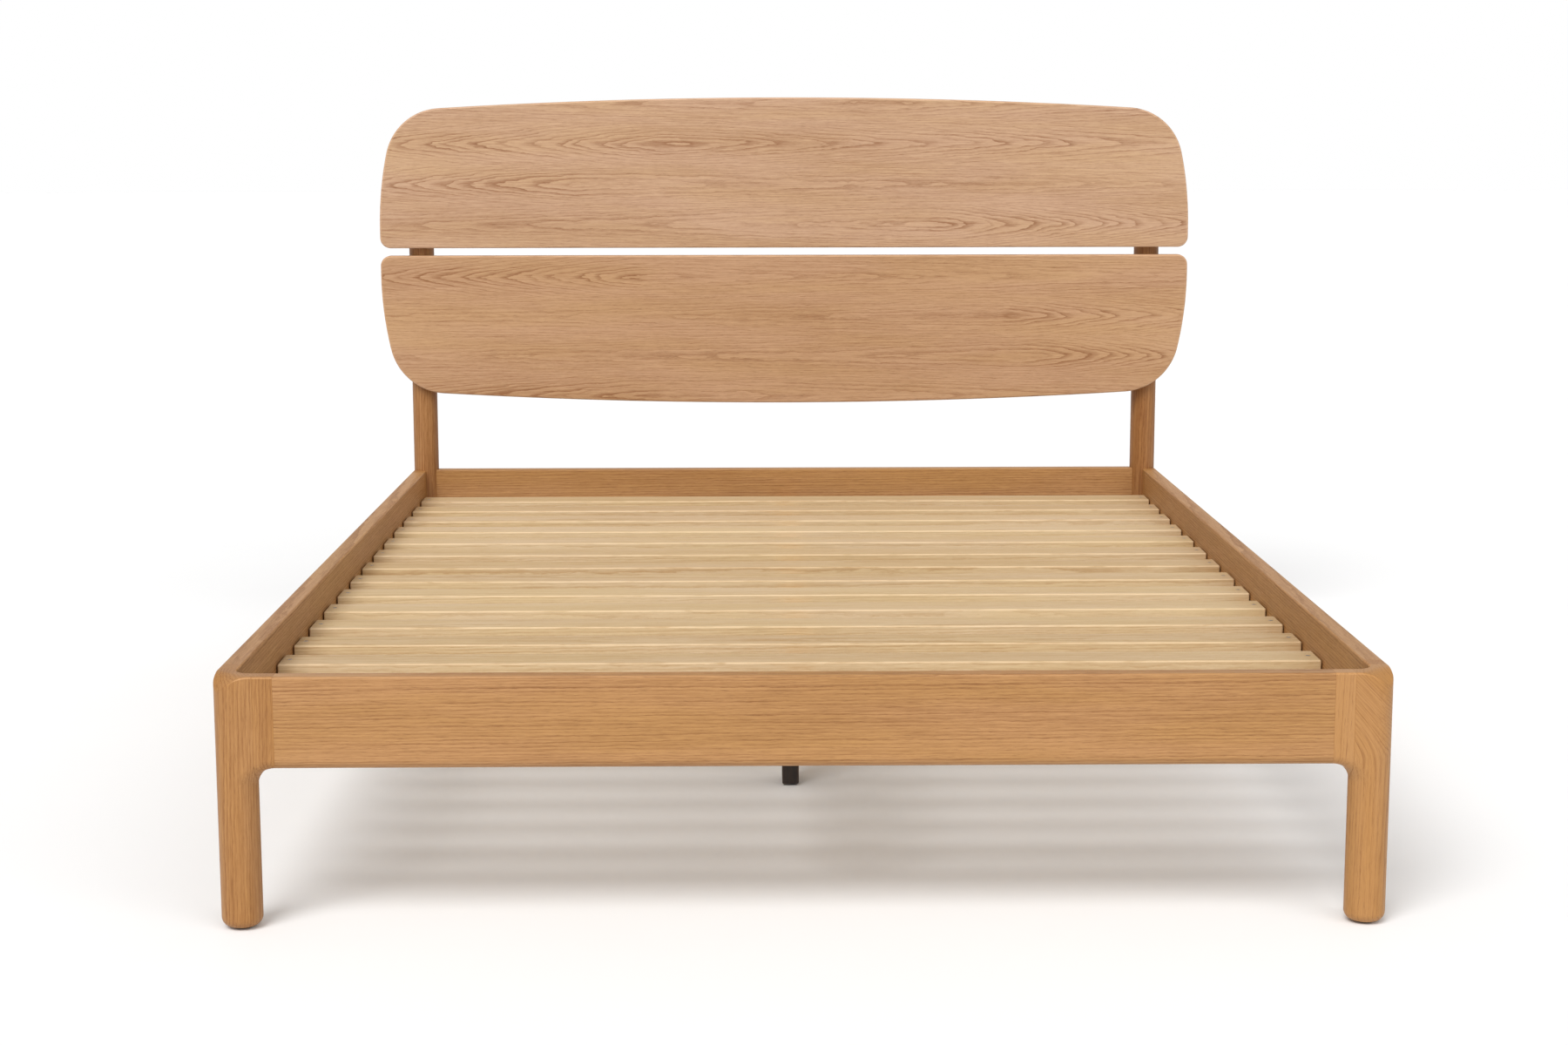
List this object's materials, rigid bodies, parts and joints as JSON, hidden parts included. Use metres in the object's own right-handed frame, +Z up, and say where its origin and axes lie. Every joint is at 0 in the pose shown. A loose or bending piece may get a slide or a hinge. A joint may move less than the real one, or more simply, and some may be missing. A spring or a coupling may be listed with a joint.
{
  "type": "wooden bed frame",
  "caption": "Oak bed frame with a split, softly rounded headboard, round legs, rounded foot corners and a slatted base.",
  "frame": {"origin": "on the floor, below the middle of the frame's overall box", "axes": "+Z up, +Y from the foot rail to the headboard, +X to the right when seen from the foot"},
  "size_m": [1.733, 2.139, 1.161],
  "materials": {
    "oak_panel": "satin lacquered oak veneer, horizontal grain, a little pinker than the legs",
    "oak_rail": "satin lacquered oak, grain along the rail",
    "oak_leg": "satin lacquered oak, grain along the leg",
    "slat_wood": "plain sanded pine",
    "dark_wood": "dark brown stained wood",
    "dowel_wood": "raw beech",
    "zinc_steel": "zinc plated",
    "brass": "plain",
    "felt": "pressed dark felt"
  },
  "bodies": {
    "root": {"headboard_upper_panel": "oak_panel", "headboard_lower_panel": "oak_panel", "head_post_left": "oak_leg", "head_post_right": "oak_leg", "head_cross_rail": "oak_rail", "panel_bolts": "zinc_steel", "panel_inserts": "brass", "foot_leg_left": "oak_leg", "foot_leg_right": "oak_leg", "foot_wing_left": "oak_leg", "foot_wing_right": "oak_leg", "side_wing_foot_left": "oak_leg", "side_wing_foot_right": "oak_leg", "side_wing_head_left": "oak_leg", "side_wing_head_right": "oak_leg", "foot_rail": "oak_rail", "side_rail_left": "oak_rail", "side_rail_right": "oak_rail", "joint_dowels": "dowel_wood", "joint_plate_foot_left": "zinc_steel", "joint_plate_foot_right": "zinc_steel", "joint_plate_head_left": "zinc_steel", "joint_plate_head_right": "zinc_steel", "joint_bolts": "zinc_steel", "joint_inserts": "brass", "slat_ledger_left": "slat_wood", "slat_ledger_right": "slat_wood", "ledger_screws": "zinc_steel", "centre_beam": "slat_wood", "beam_hanger_foot": "zinc_steel", "beam_hanger_head": "zinc_steel", "hanger_screws": "zinc_steel", "centre_leg_front": "dark_wood", "centre_leg_rear": "dark_wood", "centre_leg_bolts": "zinc_steel", "centre_leg_nuts": "zinc_steel", "pad_foot_left": "felt", "pad_foot_right": "felt", "pad_head_left": "felt", "pad_head_right": "felt", "pad_centre_front": "felt", "pad_centre_rear": "felt", "slat_01": "slat_wood", "slat_02": "slat_wood", "slat_03": "slat_wood", "slat_04": "slat_wood", "slat_05": "slat_wood", "slat_06": "slat_wood", "slat_07": "slat_wood", "slat_08": "slat_wood", "slat_09": "slat_wood", "slat_10": "slat_wood", "slat_11": "slat_wood", "slat_12": "slat_wood", "slat_13": "slat_wood", "slat_14": "slat_wood", "slat_15": "slat_wood", "slat_screws": "zinc_steel"}
  },
  "joints": []
}
